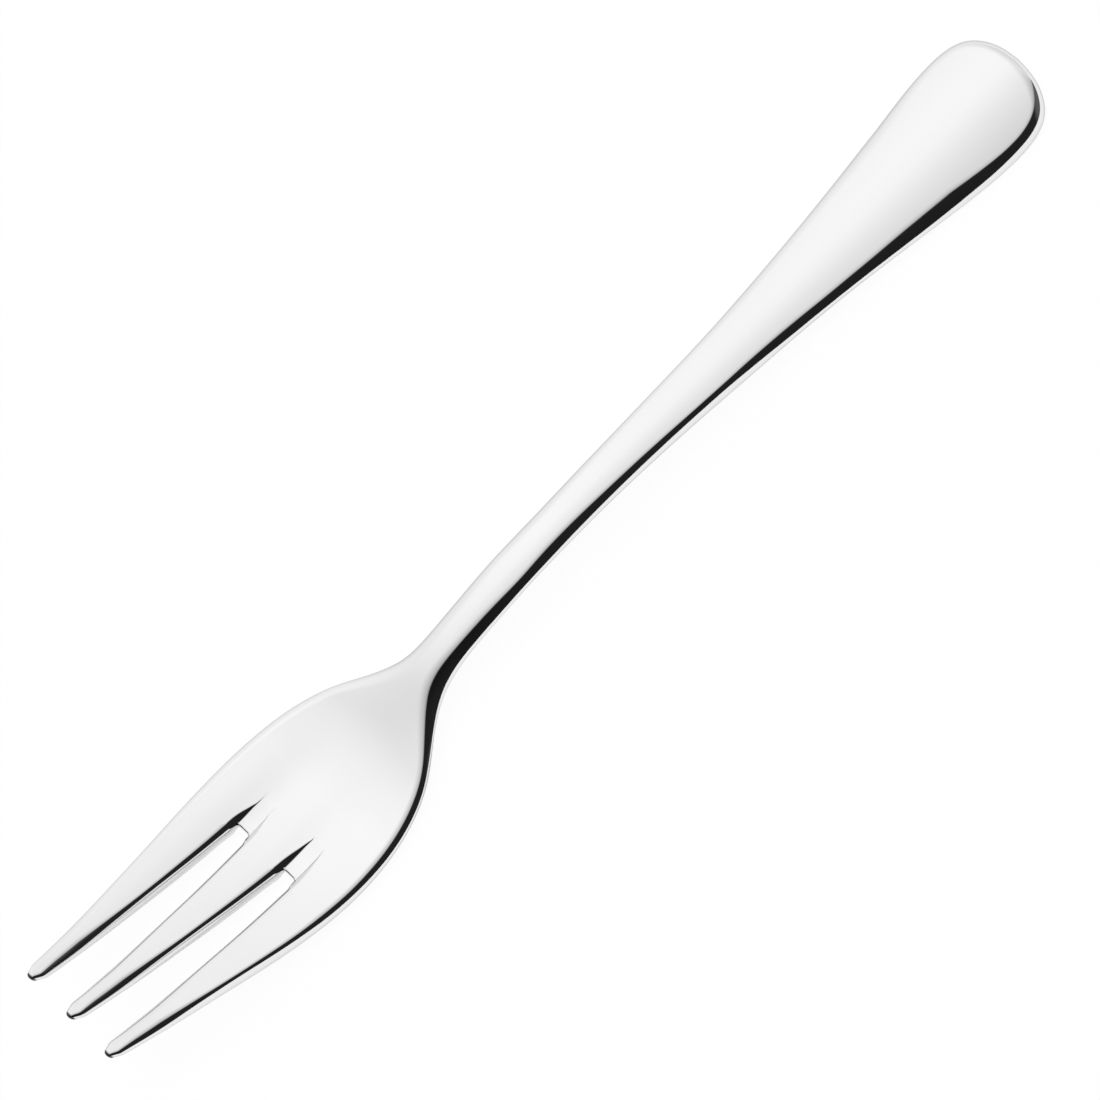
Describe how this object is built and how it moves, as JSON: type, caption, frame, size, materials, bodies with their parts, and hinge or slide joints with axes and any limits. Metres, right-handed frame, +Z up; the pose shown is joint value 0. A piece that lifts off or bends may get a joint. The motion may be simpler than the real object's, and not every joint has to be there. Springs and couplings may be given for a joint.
{
  "type": "pastry fork",
  "caption": "One-piece polished stainless pastry fork with tapered tines, a shallow dished palm, a slim neck and an arched handle that widens to a rounded end.",
  "frame": {"origin": "on the table, under the middle of the fork's length and width", "axes": "+X from the tine tips to the handle end, +Z up out of the fork's top face, Y across the fork"},
  "size_m": [0.15, 0.0226, 0.0118],
  "materials": {
    "steel": "mirror-polished 18/10 stainless steel"
  },
  "bodies": {
    "root": {"fork": "steel"}
  },
  "joints": []
}
